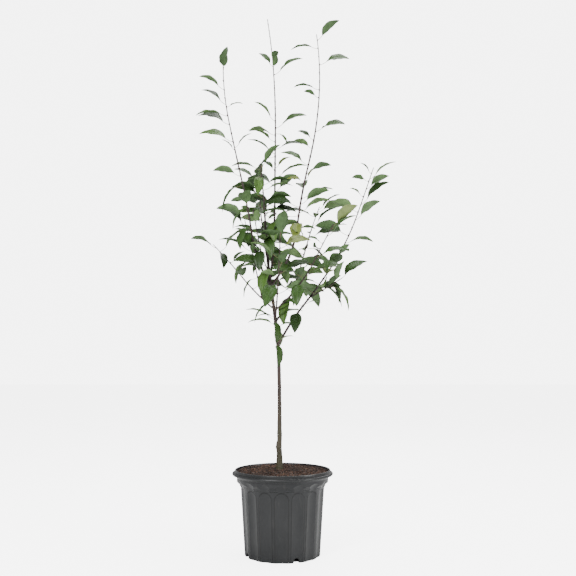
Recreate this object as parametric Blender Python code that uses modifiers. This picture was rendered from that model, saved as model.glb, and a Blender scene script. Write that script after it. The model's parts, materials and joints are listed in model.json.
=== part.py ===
"""A young Lambert cherry tree in a fluted nursery pot, in metres with +Z up.

The origin is the centre of the pot's flat underside, +X is the right of the front view and +Y its
back. The trunk stands on the soil and forks once. Each shoot from it is a bare bough, then a mass
of foliage: one stem with its twigs and leaves fused on.
"""

import random
from collections import namedtuple
from math import atan2, cos, pi, radians, sin, tau

import bmesh
import bpy
from mathutils import Matrix, Vector
from mathutils.bvhtree import BVHTree
from mathutils.geometry import intersect_point_line

# Pot
POT_HEIGHT = 0.241
LIP_RADIUS = 0.138
RIM_BEAD_RADIUS = 0.146
RIM_BEAD_THICKNESS = 0.0084
RIM_BEAD_DROP = 0.0115  # from the lip's top to the bead's middle
BAND_RADIUS = 0.1325
NECK_RADIUS = 0.1241
SHOULDER_HEIGHT = 0.194
SHOULDER_RADIUS = 0.1212
BASE_RADIUS = 0.1088
WALL = 0.0062
RIM_WALL = 0.0035
LIP_ROUND = 0.001
# How far below the top of the lip the band under the bead starts, ends and meets the neck
BAND_DROPS = (0.020, 0.034, 0.041)
INNER_DROP = 0.014  # where the rim's upright inside ends, below the lip
NECK_FOOT = 0.003  # above the shoulder
FLOOR = 0.005
POT_SIDES = 64
FLUTES = 16
FLUTE_TURN = radians(-91)  # the middle of the first flute, seen from above
FLUTE_DEPTH = 0.0030
FLUTE_HALF_WIDTH = 0.0195
FLUTE_TOP = 0.1915
DRAIN_HOLES = 4
DRAIN_FLUTE = 1  # the first flute with a drain hole, and every fourth after it
DRAIN_WIDTH = 0.017
DRAIN_HEIGHT = 0.013
DRAIN_DEEPER = 3  # the cutter's lower half is stretched by this, so it opens through the underside
CAPSULE_SIDES = 48
CAPSULE_TURNS = (75, 60, 45, 36, 27, 18, 9, 0)  # degrees round a flute cutter's domed end
BEAD_TURNS = (60, 20, -20, -60)  # degrees round the bead's outer face

# Soil
SOIL_EDGE_HEIGHT = 0.2345
SOIL_TOP_HEIGHT = 0.2405
SOIL_FLAT_RADIUS = 0.016
SOIL_SIDES = 48
SOIL_SAG_POWER = 2.2
SOIL_SAG_SHARES = (0.35, 0.6, 0.8, 0.93)

# Trunk
GAP = 0.0003  # what touching solids keep between them
WELD = 0.000001
TRUNK_FOOT = Vector((-0.009, 0, SOIL_TOP_HEIGHT + GAP))
TRUNK_LENGTH = 0.541
TRUNK_LEANS = (0, 0, 1, 6, 9)
TRUNK_AZIMUTH = 180
# Radius at even steps from the root flare, past the graft's swelling, to the fork
TRUNK_RADII = (0.0105, 0.0076, 0.0072, 0.0060, 0.0057, 0.0056, 0.0055, 0.0054, 0.0052, 0.0049, 0.0046)
TRUNK_RINGS = 26
TRUNK_SIDES = 10

# Limbs
LIMB_RINGS = 24
BOUGH_SIDES = 8
TIP_RADIUS = 0.0010
LIMB_TAPER = 0.8
FEWEST_RINGS = 3
STEM_SWELL = 1.25  # a three-sided stem is this much wider than a round one

# Leaves
LEAF_LENGTH = 0.074
SMALL_LEAF = 0.6  # a small leaf's size, as a share of a large one's
LEAF_HALF_WIDTH = 0.245  # of its length
LEAF_RIDGE = 0.022  # of its length
PETIOLE_LENGTH = 0.30  # of the blade's length
PETIOLE_RADIUS = 0.0007
PETIOLE_ROOT = 0.0004
PETIOLE_PITCH = 35  # a petiole's pitch is midway between this and its blade's
BLADE_ARCH = 50  # degrees that the blade turns down from base to tip
ARCH_LEVEL = 0.4  # the share of the blade at which it has its own pitch
BLADE_STEPS = 12
# Where the blade's sections are, and how wide each is, as shares of the whole
BLADE_SECTIONS = ((0.0, 0.05), (0.32, 0.92), (0.66, 0.82))
SIDES = {"r": 0, "b": 90, "l": 180, "f": 270}
PITCHES = {"^": 40, "-": 14, "v": -55}
NODE_START = 0.35  # where a node's first leaf stands, as a share of the way to the next node
NODE_STEP = 0.3  # from one leaf of a node to the next
SIDE_JITTER = 26
PITCH_JITTER = 12
ROLL_JITTER = 50
SIZE_JITTER = 0.18

# A shoot leaves its parent limb at a share of its length, on an azimuth that turns as it rises.
# Its leans are degrees off the vertical at even steps from foot to tip. From the share leafy on it
# bears leaves at even nodes, written from the foot up. A node lists its leaves: the side, l, r, f or
# b for left, right, front or back, in capitals for a large leaf, and ^, - or v for one that is
# raised, level or hanging. A dot is a bare bud.
Shoot = namedtuple("Shoot", "name parent at azimuth turn leans length radius leafy nodes seed")
SHOOTS = (
    Shoot("leader", "trunk", 1.0, 205, 0, (8, 3, 8), 0.355, 0.0042, 0.10,
          "FvL- Rv L-b- RvF- FvR- B- l- b-R- L- R-L- L-R- R- FvLv L-R^", 7),
    Shoot("low_left", "trunk", 0.86, 168, 0, (51, 40, 44), 0.270, 0.0022, 0.30,
          "R^ . F- . . r^ . FvR^ L-", 6),
    Shoot("left_tall", "trunk", 0.985, 218, 0, (39, 11, 16, 15, 1), 0.655, 0.0028, 0.27,
          "Fv L- LvF- l- . Lv L- . . l^r^ L- . L- L- r-L^ . L^ . F^", 16),
    Shoot("left_mid", "low_left", 0.18, 165, 0, (12, 13, 14), 0.240, 0.0018, 0.12,
          "R^ Lv b- LvF- L- R- l-Fv L^", 18),
    Shoot("left_inner", "leader", 0.08, 230, 0, (36, 18, 14), 0.195, 0.0016, 0.22,
          "b- Fv R- L- f^ R-l^", 9),
    Shoot("centre_tall", "leader", 0.02, 35, 100, (8, 0, 9, 12), 0.835, 0.0030, 0.13,
          "Bv Fv b- FvL- r^ L- b- R^ L- R- l^r^ . LvL^ R- L- L-rv R- L^ "
          ". . . . . . R^ f^l^ f- . . . . . .", 18),
    Shoot("right_tall", "trunk", 0.99, 340, 0, (45, 7, 15, 4, -8), 0.770, 0.0030, 0.12,
          "Bv L^l- F- b-r- Fv LvR- L-R^ R- B- l-r^ R- L^ . l- l^ R- . . . l^ L- . . R- . L- R^", 10),
    Shoot("low_right", "trunk", 0.66, 8, 0, (27, 39, 32, 20, 19), 0.615, 0.0030, 0.17,
          "Fv l-r- f- R- Rvl- RvF- L-F- b- r^f- . R- L- . R^ L- R^ l^ R^ l-R^ l^", 22),
    Shoot("low_right_side", "low_right", 0.28, 335, 0, (66, 62, 60), 0.115, 0.0016, 0.16,
          "L- F- r^ Rv F^ R^", 1),
    Shoot("right_upper", "trunk", 0.79, 42, 0, (44, 24, 20, 27), 0.405, 0.0026, 0.20,
          "FvR- L-f- RvF- R- L-Bv R- L-B- Rv L^R- b- R^ f-L- R-R^", 7),
    Shoot("right_inner", "trunk", 0.85, 318, 0, (60, 49, 34, 37), 0.325, 0.0022, 0.22,
          "fv b- Fv L-R- R- L- R-Fv b- l- R^ r-R^", 21),
    Shoot("front_low", "trunk", 0.80, 275, 0, (52, 38, 24), 0.300, 0.0022, 0.22,
          "Lv R- Fv l-R- F- L^b- R- F^", 22),
    Shoot("back_low", "trunk", 0.90, 98, 0, (52, 34, 20), 0.420, 0.0026, 0.18,
          "R- Bv L- B-r- Lv B- R-l^ B- L-r^ B^ f^", 4),
    Shoot("back_left", "leader", 0.16, 108, 0, (34, 20, 8), 0.310, 0.0022, 0.20,
          "B- L- r- BvL- R- B-l- F- L^B^", 9),
    Shoot("spur_low", "trunk", 0.665, 250, 0, (70, 50), 0.022, 0.0016, 0.0,
          "Fv r-", 3),
    Shoot("spur_mid", "trunk", 0.79, 265, 0, (70, 45), 0.028, 0.0016, 0.0,
          "Fv L- R-l-", 3),
    Shoot("spur_back", "trunk", 0.75, 80, 0, (70, 45), 0.030, 0.0016, 0.0,
          "Bv r- L-", 13),
)


def named_collection(name):
    collection = bpy.data.collections.new(name)
    bpy.context.scene.collection.children.link(collection)
    return collection


def material(name, colour, roughness):
    made = bpy.data.materials.new(name)
    made.use_nodes = True
    shader = made.node_tree.nodes["Principled BSDF"]
    shader.inputs["Base Color"].default_value = (*colour, 1)
    shader.inputs["Roughness"].default_value = roughness
    shader.inputs["Metallic"].default_value = 0
    made.diffuse_color = (*colour, 1)
    return made


def placed(name, mesh, collection):
    thing = bpy.data.objects.new(name, mesh)
    collection.objects.link(thing)
    return thing


def mesh_of(name, form):
    mesh = bpy.data.meshes.new(name)
    form.to_mesh(mesh)
    form.free()
    return mesh


def evaluated_mesh(thing):
    """The object's mesh as a curve's bevel or the modifiers make it."""
    bpy.context.view_layer.update()
    graph = bpy.context.evaluated_depsgraph_get()
    return bpy.data.meshes.new_from_object(thing.evaluated_get(graph))


def main_body(mesh):
    """Keeps the largest closed body: a sealed hollow is filled and a loose scrap dropped."""
    form = bmesh.new()
    form.from_mesh(mesh)
    unseen = set(form.verts)
    bodies = []
    while unseen:
        body = {unseen.pop()}
        edge_of_search = list(body)
        while edge_of_search:
            vert = edge_of_search.pop()
            for edge in vert.link_edges:
                other = edge.other_vert(vert)
                if other in unseen:
                    unseen.remove(other)
                    body.add(other)
                    edge_of_search.append(other)
        bodies.append(body)
    largest = max(bodies, key=len)
    bmesh.ops.delete(form, geom=[v for v in form.verts if v not in largest], context="VERTS")
    form.to_mesh(mesh)
    form.free()


def boolean(thing, operation, others):
    """Joins the others to the object, or cuts them from it, and removes them."""
    pieces = named_collection(f"{thing.name} {operation}")
    for other in others:
        pieces.objects.link(other)
    modifier = thing.modifiers.new(operation, "BOOLEAN")
    modifier.operation = operation
    modifier.solver = "EXACT"
    modifier.operand_type = "COLLECTION"
    modifier.collection = pieces
    thing.data = evaluated_mesh(thing)
    thing.modifiers.clear()
    main_body(thing.data)
    for other in others:
        bpy.data.objects.remove(other)
    bpy.data.collections.remove(pieces)


def heading(lean, azimuth):
    """The unit vector that leans off the vertical by this many degrees, towards the azimuth."""
    lean = radians(lean)
    azimuth = radians(azimuth)
    return Vector((sin(lean) * cos(azimuth), sin(lean) * sin(azimuth), cos(lean)))


def between(values, share):
    """The value at a share of the way along values that stand at even steps."""
    place = share * (len(values) - 1)
    before = min(int(place), len(values) - 2)
    return values[before] + (values[before + 1] - values[before]) * (place - before)


def limb_line(foot, azimuth, turn, leans, length, rings):
    points = [foot]
    for ring in range(rings):
        share = (ring + 0.5) / rings
        step = heading(between(leans, share), azimuth + turn * share)
        points.append(points[-1] + step * (length / rings))
    return points


def stretch(values, start, end, rings):
    """The values at even steps between two shares of their line."""
    return [between(values, start + (end - start) * ring / rings) for ring in range(rings + 1)]


def tube(name, points, radii, sides, collection):
    """A tapering tube: a curve with a bevel and filled caps, made a mesh with its caps welded."""
    curve = bpy.data.curves.new(name, "CURVE")
    curve.dimensions = "3D"
    curve.use_fill_caps = True
    section = None
    if sides == 3:
        outline = bpy.data.curves.new("three-sided section", "CURVE")
        corners = outline.splines.new("POLY")
        corners.points.add(sides - 1)
        corners.use_cyclic_u = True
        for corner, point in enumerate(corners.points):
            turn = -tau * corner / sides
            point.co = (cos(turn), sin(turn), 0, 1)
        section = bpy.data.objects.new("three-sided section", outline)
        curve.bevel_mode = "OBJECT"
        curve.bevel_object = section
    else:
        curve.bevel_depth = 1
        curve.bevel_resolution = sides // 2 - 2
    spline = curve.splines.new("POLY")
    spline.points.add(len(points) - 1)
    for point, place, radius in zip(spline.points, points, radii):
        point.co = (*place, 1)
        point.radius = radius
    guide = placed(name + " guide", curve, collection)
    form = bmesh.new()
    form.from_mesh(evaluated_mesh(guide))
    bmesh.ops.remove_doubles(form, verts=form.verts, dist=WELD)
    bmesh.ops.triangulate(form, faces=form.faces)
    mesh = mesh_of(name, form)
    bpy.data.objects.remove(guide)
    if section:
        bpy.data.objects.remove(section)
    mesh.shade_smooth()
    return placed(name, mesh, collection)


def distance(points, others):
    """The least distance between the points of one line and another line."""
    least = POT_HEIGHT
    for start, end in zip(others, others[1:]):
        for point in points:
            nearest, share = intersect_point_line(point, start, end)
            if share < 0:
                nearest = start
            if share > 1:
                nearest = end
            least = min(least, (point - nearest).length)
    return least


def tree_of(thing):
    form = bmesh.new()
    form.from_mesh(thing.data)
    tree = BVHTree.FromBMesh(form)
    form.free()
    return tree


def turned(name, profile, sides, collection):
    """A profile of (radius, height) turned about Z. It runs down the outer side, top to bottom."""
    mesh = bpy.data.meshes.new(name)
    points = [(radius, 0, height) for radius, height in profile]
    mesh.from_pydata(points, [(i, i + 1) for i in range(len(points) - 1)], [])
    thing = placed(name, mesh, collection)
    screw = thing.modifiers.new("turn", "SCREW")
    screw.steps = sides
    screw.render_steps = sides
    screw.use_merge_vertices = True
    screw.merge_threshold = 0.0001
    return thing


def wall_radius(height):
    """The plain outer radius of the tapered body at a height."""
    return BASE_RADIUS + (SHOULDER_RADIUS - BASE_RADIUS) * height / SHOULDER_HEIGHT


def cutter_at(thing, place, turns):
    thing.location = place
    thing.rotation_euler = turns
    thing.hide_render = True
    thing.display_type = "WIRE"


def flute_cutters(collection):
    """Long domed capsules that lie along the sloping wall, so that each flute ends in an arch."""
    slope = atan2(SHOULDER_RADIUS - BASE_RADIUS, SHOULDER_HEIGHT)
    capsule_radius = (FLUTE_HALF_WIDTH**2 + FLUTE_DEPTH**2) / (2 * FLUTE_DEPTH)
    top = FLUTE_TOP - FLUTE_HALF_WIDTH
    away = wall_radius(top) - FLUTE_DEPTH + capsule_radius
    capsule = [(0, capsule_radius)]
    for turn in CAPSULE_TURNS:
        across = cos(radians(turn)) * capsule_radius
        capsule.append((across, sin(radians(turn)) * capsule_radius))
    capsule += [(capsule_radius, -POT_HEIGHT), (0, -POT_HEIGHT)]
    for flute in range(FLUTES):
        turn = FLUTE_TURN + tau * flute / FLUTES
        cutter = turned(f"flute cutter {flute}", capsule, CAPSULE_SIDES, collection)
        cutter_at(cutter, (away * cos(turn), away * sin(turn), top), (0, slope, turn))


def drain_cutters(collection):
    across = BASE_RADIUS - WALL / 2
    for hole in range(DRAIN_HOLES):
        turn = FLUTE_TURN + tau * (DRAIN_FLUTE + hole * FLUTES / DRAIN_HOLES) / FLUTES
        form = bmesh.new()
        size = {"radius1": DRAIN_WIDTH / 2, "radius2": DRAIN_WIDTH / 2, "depth": 4 * WALL}
        bmesh.ops.create_cone(form, cap_ends=True, segments=16, **size)
        bmesh.ops.rotate(form, verts=form.verts, matrix=Matrix.Rotation(pi / 2, 3, "Y"))
        for vert in form.verts:
            if vert.co.z < 0:
                vert.co.z *= DRAIN_DEEPER
        cutter = placed(f"drain cutter {hole}", mesh_of("drain cutter", form), collection)
        height = DRAIN_HEIGHT - DRAIN_WIDTH / 2
        cutter_at(cutter, (across * cos(turn), across * sin(turn), height), (0, 0, turn))


def make_pot(pot_parts, cutters):
    bead = RIM_BEAD_THICKNESS / 2
    bead_height = POT_HEIGHT - RIM_BEAD_DROP
    bead_middle = RIM_BEAD_RADIUS - bead
    inner_lip = LIP_RADIUS - RIM_WALL
    band_top, band_bottom, neck_top = [POT_HEIGHT - drop for drop in BAND_DROPS]
    profile = [
        (0, FLOOR),
        (wall_radius(FLOOR) - WALL, FLOOR),
        (SHOULDER_RADIUS - WALL, SHOULDER_HEIGHT),
        (BAND_RADIUS - RIM_WALL, band_top),
        (inner_lip, POT_HEIGHT - INNER_DROP),
        (inner_lip, POT_HEIGHT - LIP_ROUND),
        (inner_lip + LIP_ROUND, POT_HEIGHT),
        (LIP_RADIUS - LIP_ROUND, POT_HEIGHT),
        (LIP_RADIUS, POT_HEIGHT - LIP_ROUND),
        (LIP_RADIUS, bead_height + bead),
    ]
    for turn in BEAD_TURNS:
        across = bead_middle + bead * cos(radians(turn))
        profile.append((across, bead_height + bead * sin(radians(turn))))
    profile += [
        (LIP_RADIUS, bead_height - bead),
        (BAND_RADIUS, band_top),
        (BAND_RADIUS, band_bottom),
        (NECK_RADIUS, neck_top),
        (NECK_RADIUS, SHOULDER_HEIGHT + NECK_FOOT),
        (SHOULDER_RADIUS, SHOULDER_HEIGHT),
        (BASE_RADIUS, 0),
        (0, 0),
    ]
    pot = turned("pot", profile, POT_SIDES, pot_parts)
    pot_cutters = named_collection("pot cutters")
    cutters.children.link(pot_cutters)
    bpy.context.scene.collection.children.unlink(pot_cutters)
    flute_cutters(pot_cutters)
    drain_cutters(pot_cutters)
    cut = pot.modifiers.new("flutes and drain holes", "BOOLEAN")
    cut.operation = "DIFFERENCE"
    cut.operand_type = "COLLECTION"
    cut.collection = pot_cutters
    cut.solver = "MANIFOLD"
    pot.data.materials.append(material("charcoal plastic", (0.045, 0.048, 0.052), 0.42))


def make_soil(collection):
    inner_lip = LIP_RADIUS - RIM_WALL
    profile = [(0, SOIL_TOP_HEIGHT), (SOIL_FLAT_RADIUS, SOIL_TOP_HEIGHT)]
    for share in SOIL_SAG_SHARES:
        sag = (SOIL_TOP_HEIGHT - SOIL_EDGE_HEIGHT) * share**SOIL_SAG_POWER
        profile.append((share * (inner_lip - GAP), SOIL_TOP_HEIGHT - sag))
    profile += [
        (inner_lip - GAP, SOIL_EDGE_HEIGHT),
        (inner_lip - GAP, POT_HEIGHT - INNER_DROP + GAP),
        (BAND_RADIUS - RIM_WALL - 2 * GAP, POT_HEIGHT - BAND_DROPS[0]),
        (SHOULDER_RADIUS - WALL - 2 * GAP, SHOULDER_HEIGHT),
        (wall_radius(FLOOR) - WALL - 2 * GAP, FLOOR + GAP),
        (0, FLOOR + GAP),
    ]
    soil = turned("soil", profile, SOIL_SIDES, collection)
    soil.data.materials.append(material("bark compost", (0.055, 0.030, 0.020), 0.95))


def leaf_path(root, azimuth, pitch, size):
    """The points of a leaf: its petiole's root, then its midrib from the blade's base to its tip."""
    blade = LEAF_LENGTH * size
    petiole = heading(90 - (pitch + PETIOLE_PITCH) / 2, azimuth)
    points = [root, root + petiole * (blade * PETIOLE_LENGTH)]
    for step in range(BLADE_STEPS):
        down = BLADE_ARCH * ((step + 0.5) / BLADE_STEPS - ARCH_LEVEL)
        points.append(points[-1] + heading(90 - pitch + down, azimuth) * (blade / BLADE_STEPS))
    return points


def leaf_mesh(root, azimuth, pitch, roll, size):
    """A thin closed loft: a three-sided petiole that widens into a blade with a ridge above."""
    path = leaf_path(root, azimuth, pitch, size)
    blade = LEAF_LENGTH * size
    level = Vector((-sin(radians(azimuth)), cos(radians(azimuth)), 0))
    along = (path[1] - path[0]).normalized()
    up = along.cross(level)
    sections = [(path[0], level, up, PETIOLE_ROOT, PETIOLE_ROOT)]
    for share, width in BLADE_SECTIONS:
        point = between(path[1:], share)
        along = (between(path[1:], share + 0.05) - point).normalized()
        side = Matrix.Rotation(radians(roll * min(1, 3 * share)), 3, along) @ level
        half = max(PETIOLE_RADIUS, blade * LEAF_HALF_WIDTH * width)
        ridge = max(PETIOLE_RADIUS, blade * LEAF_RIDGE * width)
        sections.append((point, side, along.cross(side), half, ridge))
    form = bmesh.new()
    rings = []
    for point, side, up, half, ridge in sections:
        corners = (point - side * half, point + side * half, point + up * ridge)
        rings.append([form.verts.new(corner) for corner in corners])
    tip = form.verts.new(path[-1])
    form.faces.new(rings[0])
    for ring, further in zip(rings, rings[1:]):
        for corner in range(3):
            following = (corner + 1) % 3
            form.faces.new((ring[corner], further[corner], further[following], ring[following]))
    for corner in range(3):
        form.faces.new((rings[-1][corner], tip, rings[-1][(corner + 1) % 3]))
    bmesh.ops.recalc_face_normals(form, faces=form.faces)
    bmesh.ops.triangulate(form, faces=form.faces)
    return mesh_of("leaf", form)


def leaf_marks(nodes):
    """(node, share of the leafy length, side, pitch, size) of each leaf that the nodes list."""
    words = nodes.split()
    marks = []
    for node, word in enumerate(words):
        for leaf in range(len(word) // 2):
            side, pitch = word[2 * leaf : 2 * leaf + 2]
            size = 1 if side.isupper() else SMALL_LEAF
            share = (node + NODE_START + NODE_STEP * leaf) / len(words)
            marks.append((node, share, SIDES[side.lower()], PITCHES[pitch], size))
    return marks


def grow(shoot, points, kept_clear, collection):
    """The leaves of one shoot, left out where they would touch a limb or an earlier leaf."""
    leaves = []
    last_node = None
    for node, share, side, pitch, size in leaf_marks(shoot.nodes):
        if node != last_node:
            rng = random.Random(100 * shoot.seed + node)
            last_node = node
        azimuth = side + rng.uniform(-SIDE_JITTER, SIDE_JITTER)
        pitch += rng.uniform(-PITCH_JITTER, PITCH_JITTER)
        roll = rng.uniform(-ROLL_JITTER, ROLL_JITTER)
        size *= 1 + rng.uniform(-SIZE_JITTER, SIZE_JITTER)
        root = between(points, share)
        mesh = leaf_mesh(root, azimuth, pitch, roll, size)
        leaf = placed(f"{shoot.name} leaf {len(leaves)}", mesh, collection)
        tree = tree_of(leaf)
        if any(tree.overlap(other) for other in kept_clear.values()):
            bpy.data.objects.remove(leaf)
            continue
        kept_clear[leaf.name] = tree
        leaves.append(leaf)
    return leaves


def trim_clear(limb, points, widths, limbs, guides):
    """Cuts a limb back from those that its foot grows out of, leaving the gap between them."""
    for other_points, other_widths, other_sides in limbs:
        reach = 2 * (widths[0] + other_widths[0])
        if distance(points, other_points) < reach:
            grown = [width + GAP for width in other_widths]
            kept_clear = tube("kept clear", other_points, grown, other_sides, guides)
            boolean(limb, "DIFFERENCE", [kept_clear])


def make_limbs(parts, guides):
    """The trunk, the boughs and the stems of the masses, each trimmed clear of those before it."""
    trunk_radii = stretch(TRUNK_RADII, 0, 1, TRUNK_RINGS)
    trunk_line = limb_line(
        TRUNK_FOOT, TRUNK_AZIMUTH, 0, TRUNK_LEANS, TRUNK_LENGTH, TRUNK_RINGS
    )
    trunk = tube("trunk", trunk_line, trunk_radii, TRUNK_SIDES, parts)
    trunk.data.materials.append(material("trunk bark", (0.075, 0.045, 0.028), 0.75))
    bark = material("shoot bark", (0.10, 0.055, 0.045), 0.7)
    lines = {"trunk": trunk_line}
    limbs = [(trunk_line, trunk_radii, TRUNK_SIDES)]
    made = [trunk]
    stems = {}
    for shoot in SHOOTS:
        foot = between(lines[shoot.parent], shoot.at)
        line = limb_line(foot, shoot.azimuth, shoot.turn, shoot.leans, shoot.length, LIMB_RINGS)
        lines[shoot.name] = line
        radii = []
        for ring in range(LIMB_RINGS + 1):
            taper = (ring / LIMB_RINGS) ** LIMB_TAPER
            radii.append(shoot.radius + (TIP_RADIUS - shoot.radius) * taper)
        before = list(limbs)
        if shoot.leafy:
            rings = max(FEWEST_RINGS, round(LIMB_RINGS * shoot.leafy))
            points = stretch(line, 0, shoot.leafy, rings)
            widths = stretch(radii, 0, shoot.leafy, rings)
            bough = tube(f"bough_{shoot.name}", points, widths, BOUGH_SIDES, parts)
            bough.data.materials.append(bark)
            trim_clear(bough, points, widths, before, guides)
            limbs.append((points, widths, BOUGH_SIDES))
            made.append(bough)
        start = shoot.leafy + GAP / shoot.length if shoot.leafy else 0
        rings = round(LIMB_RINGS * (1 - shoot.leafy) * min(1, 2 * shoot.length))
        rings = max(FEWEST_RINGS, rings)
        points = stretch(line, start, 1, rings)
        widths = [STEM_SWELL * width for width in stretch(radii, start, 1, rings)]
        stem = tube(f"leaves_{shoot.name}", points, widths, 3, parts)
        trim_clear(stem, points, widths, before, guides)
        limbs.append((points, widths, 3))
        made.append(stem)
        stems[shoot.name] = (stem, stretch(line, shoot.leafy, 1, LIMB_RINGS))
    return made, stems


def make_masses(limbs, stems, guides):
    """Grows each shoot's leaves on its stem and joins them into one solid."""
    leaf = material("cherry leaf", (0.10, 0.20, 0.055), 0.5)
    kept_clear = {limb.name: tree_of(limb) for limb in limbs}
    for shoot in SHOOTS:
        stem, points = stems[shoot.name]
        own = kept_clear.pop(stem.name)
        leaves = grow(shoot, points, kept_clear, guides)
        kept_clear[stem.name] = own
        boolean(stem, "UNION", leaves)
        stem.data.materials.clear()
        stem.data.materials.append(leaf)


for thing in list(bpy.data.objects):
    bpy.data.objects.remove(thing)
tree_parts = named_collection("potted lambert cherry tree")
cutter_parts = named_collection("cutters")
guide_parts = named_collection("guides")
made_limbs, made_stems = make_limbs(tree_parts, guide_parts)
make_masses(made_limbs, made_stems, guide_parts)
make_soil(tree_parts)
make_pot(tree_parts, cutter_parts)
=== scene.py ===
"""The potted lambert cherry tree: a young fruit tree in a fluted nursery pot of bark compost.

The sections follow the tree as it is put together: studio, pot, compost, trunk, shoots, then leaves.
"""

import json
import random
from collections import namedtuple
from math import atan2, cos, pi, radians, sin, sqrt, tau

import bmesh
import bpy
from mathutils import Matrix, Vector, noise

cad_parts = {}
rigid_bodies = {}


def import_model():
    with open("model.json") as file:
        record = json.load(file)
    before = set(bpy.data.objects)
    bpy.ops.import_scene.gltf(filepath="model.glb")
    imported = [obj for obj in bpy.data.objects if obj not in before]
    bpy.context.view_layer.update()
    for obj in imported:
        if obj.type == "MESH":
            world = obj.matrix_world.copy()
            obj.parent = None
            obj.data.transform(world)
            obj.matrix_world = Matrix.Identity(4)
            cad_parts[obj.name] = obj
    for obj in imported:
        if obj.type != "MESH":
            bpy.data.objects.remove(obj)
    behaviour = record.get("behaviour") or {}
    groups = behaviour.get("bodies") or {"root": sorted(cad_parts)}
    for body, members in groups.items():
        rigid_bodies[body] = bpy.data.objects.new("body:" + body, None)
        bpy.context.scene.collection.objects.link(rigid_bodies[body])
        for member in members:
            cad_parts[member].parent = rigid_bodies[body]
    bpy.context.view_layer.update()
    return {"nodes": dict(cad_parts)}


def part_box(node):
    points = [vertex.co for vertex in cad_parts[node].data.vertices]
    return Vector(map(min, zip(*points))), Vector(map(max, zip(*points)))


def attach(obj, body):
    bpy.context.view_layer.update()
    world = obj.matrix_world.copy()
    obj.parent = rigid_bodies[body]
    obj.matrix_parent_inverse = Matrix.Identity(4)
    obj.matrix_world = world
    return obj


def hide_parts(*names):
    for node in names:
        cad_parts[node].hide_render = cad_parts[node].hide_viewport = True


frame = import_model()

# Studio: a flat pale floor under a plain white surround, four soft lights, and a camera level with
# the trunk that looks slightly upwards.
CAMERA_PLACE = (0.0157, -2.355, 0.580)
CAMERA_PITCH = 4.56
CAMERA_LENS = 50
FLOOR_HALF = 12
FLOOR_GREYS = ((0.88, 0.88, 0.88), (0.9, 0.9, 0.9))
BACKDROP_GLOW = 6.0
FLOOR_GLOW = 5.0
STUDIO_GLOW = 0.55
LIGHTS_AIM = Vector((0, 0, 0.7))
# Each light: name, place, power in watts and size in metres
LIGHTS = (
    ("key light", (-1.5, -2.6, 2.2), 120, 0.9),
    ("fill light", (2.4, -1.2, 1.1), 45, 0.8),
    ("top light", (0.3, 0.2, 3.6), 90, 1.6),
    ("back light", (0.8, 2.4, 2.6), 40, 1.8),
)

bpy.ops.object.select_all(action="DESELECT")
bpy.ops.object.camera_add(location=CAMERA_PLACE, rotation=(radians(90 + CAMERA_PITCH), 0, 0))
camera = bpy.context.object
camera.data.lens = CAMERA_LENS
bpy.context.scene.camera = camera

bpy.ops.mesh.primitive_plane_add(size=2 * FLOOR_HALF)
floor = bpy.context.object
floor.name = "floor"


def new_material(name, roughness):
    """A material, the node tree that its section then fills, and its shader."""
    made = bpy.data.materials.new(name)
    made.use_nodes = True
    shader = made.node_tree.nodes["Principled BSDF"]
    shader.inputs["Roughness"].default_value = roughness
    return made, made.node_tree, shader


def node(tree, kind, inputs=(), **settings):
    """A new node with its settings, and its inputs set to values or linked to sockets."""
    made = tree.nodes.new(kind)
    for key, value in settings.items():
        setattr(made, key, value)
    for key, value in dict(inputs).items():
        if isinstance(value, bpy.types.NodeSocket):
            tree.links.new(value, made.inputs[key])
        else:
            made.inputs[key].default_value = value
    return made


def maths(tree, operation, first, second=0.0):
    """The value that a sum gives for one or two values, each a number or a socket."""
    return node(tree, "ShaderNodeMath", {0: first, 1: second}, operation=operation).outputs["Value"]


def spread(tree, value, ends, results):
    """Spreads a value between two results as it runs between its ends, and holds it past them."""
    inputs = {"Value": value, "From Min": ends[0], "From Max": ends[1]}
    inputs |= {"To Min": results[0], "To Max": results[1]}
    return node(tree, "ShaderNodeMapRange", inputs).outputs["Result"]


def ramp(tree, value, stops):
    """Colours along a value, from (place, colour) stops."""
    made = node(tree, "ShaderNodeValToRGB", {"Fac": value})
    elements = made.color_ramp.elements
    elements[0].position, elements[0].color = stops[0][0], (*stops[0][1], 1)
    elements[1].position, elements[1].color = stops[-1][0], (*stops[-1][1], 1)
    for place, colour in stops[1:-1]:
        elements.new(place).color = (*colour, 1)
    return made.outputs["Color"]


def object_point(tree, factors=(1, 1, 1)):
    """The point on the piece in metres, its x, y and z each multiplied by a factor."""
    place = node(tree, "ShaderNodeTexCoord").outputs["Object"]
    return node(tree, "ShaderNodeMapping", {"Vector": place, "Scale": factors}).outputs["Vector"]


def cloudy(tree, scale, detail, factors=(1, 1, 1)):
    """Cloudy noise from 0 to 1 over the piece, its patches about 1 / scale metres across."""
    inputs = {"Vector": object_point(tree, factors), "Scale": scale, "Detail": detail}
    return node(tree, "ShaderNodeTexNoise", inputs).outputs["Fac"]


# The floor and the backdrop glow to nearly the same white, and only the camera sees that glow.
floor_finish, tree, shader = new_material("pale floor", 0.9)
floor_colour = ramp(tree, cloudy(tree, 6.0, 2.0), [(0.3, FLOOR_GREYS[0]), (0.7, FLOOR_GREYS[1])])
tree.links.new(floor_colour, shader.inputs["Base Color"])
seen = node(tree, "ShaderNodeLightPath").outputs["Is Camera Ray"]
tree.links.new(maths(tree, "MULTIPLY", seen, FLOOR_GLOW), shader.inputs["Emission Strength"])
shader.inputs["Emission Color"].default_value = (1, 1, 1, 1)
floor.data.materials.append(floor_finish)

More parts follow.
